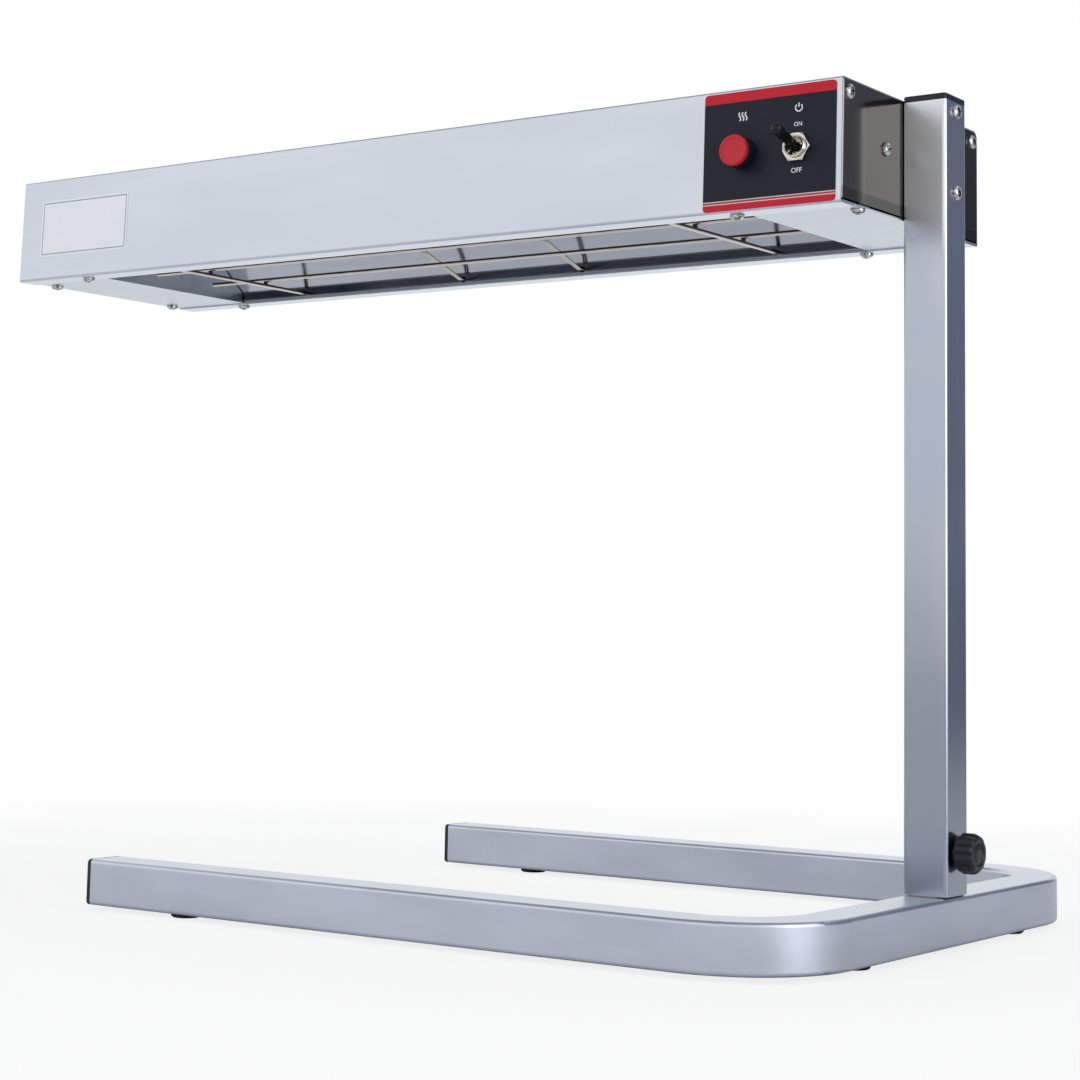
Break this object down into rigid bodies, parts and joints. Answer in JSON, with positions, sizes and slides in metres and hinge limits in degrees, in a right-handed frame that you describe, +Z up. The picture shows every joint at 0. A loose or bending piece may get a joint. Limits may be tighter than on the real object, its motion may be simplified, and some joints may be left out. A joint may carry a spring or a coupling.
{
  "type": "heat lamp",
  "caption": "Freestanding strip heat lamp: folded steel heater head with reflector and guard, held over the table by a square post on a U-shaped tube base, with a clamp knob for height.",
  "frame": {"origin": "on the table, under the middle of the lamp's outline", "axes": "+Z up; +X from the free end of the heater and the open leg ends towards the post; -Y is the side with the control panel"},
  "size_m": [0.65, 0.36, 0.4525],
  "materials": {
    "housing_steel": "satin",
    "frame_steel": "satin",
    "stub_steel": "satin",
    "galvanized": "matte",
    "dark_polish": "polished",
    "bright_fasteners": "polished",
    "clamp_steel": "satin",
    "mirror_sheet": "polished",
    "guard_wire": "satin",
    "element_sheath": "matte",
    "ceramic_white": "gloss",
    "brass_parts": "satin",
    "black_plastic": "satin",
    "black_rubber": "matte",
    "panel_print": "satin",
    "label_film": "satin",
    "red_lens": "gloss",
    "nickel": "polished",
    "red_phenolic": "matte",
    "white_plastic": "satin",
    "lead_cover": "matte"
  },
  "bodies": {
    "stand": {"base_frame": "frame_steel", "leg_end_caps": "black_plastic", "feet": "black_rubber", "post_stub": "stub_steel"},
    "mast": {"post": "frame_steel", "post_cap": "black_plastic", "post_bolts": "bright_fasteners", "post_nuts": "bright_fasteners", "clamp_nut": "clamp_steel", "housing": "housing_steel", "end_plate_left": "dark_polish", "end_plate_right": "dark_polish", "bottom_cover_left": "galvanized", "bottom_cover_right": "galvanized", "backing_plate": "galvanized", "backing_screws": "bright_fasteners", "end_plate_screws": "bright_fasteners", "cover_screws": "bright_fasteners", "lip_screws": "bright_fasteners", "lip_nuts": "bright_fasteners", "reflector": "mirror_sheet", "reflector_end_left": "galvanized", "reflector_end_right": "galvanized", "wire_guard": "guard_wire", "element_supports": "guard_wire", "heating_element": "element_sheath", "element_bushings": "ceramic_white", "element_terminals": "brass_parts", "control_panel": "panel_print", "label_blank": "label_film", "indicator_lens": "red_lens", "indicator_bezel": "black_plastic", "indicator_nut": "nickel", "indicator_body": "white_plastic", "switch_body": "red_phenolic", "switch_terminals": "brass_parts", "switch_bushing": "nickel", "switch_nut": "nickel", "terminal_block": "white_plastic", "terminal_screws": "bright_fasteners", "lead_wires": "lead_cover", "cable_gland": "black_plastic", "gland_nut": "nickel", "earth_stud": "brass_parts"},
    "clamp_screw": {"clamp_stud": "clamp_steel"},
    "clamp_knob": {"clamp_knob": "black_plastic"},
    "toggle": {"switch_lever": "nickel", "lever_sleeve": "black_plastic"}
  },
  "joints": [
    {"name": "post_height", "type": "slide", "parent": "stand", "child": "mast", "axis": [0, 0, 1], "range_m": [0, 0.075]},
    {"name": "clamp_travel", "type": "slide", "parent": "mast", "child": "clamp_screw", "axis": [1, 0, 0], "range_m": [0, 0.003]},
    {"name": "clamp_turn", "type": "hinge", "parent": "clamp_screw", "child": "clamp_knob", "pos_m": [0.31405, 0, 0.0505], "axis": [1, 0, 0], "range_deg": [0, 1080]},
    {"name": "toggle_throw", "type": "hinge", "parent": "mast", "child": "toggle", "pos_m": [0.26185, -0.08486, 0.41473], "axis": [1, 0, 0], "range_deg": [0, 28]}
  ],
  "couplings": [
    {"joint": "clamp_turn", "follows": "clamp_travel", "rad_per_m": 6283.2}
  ]
}
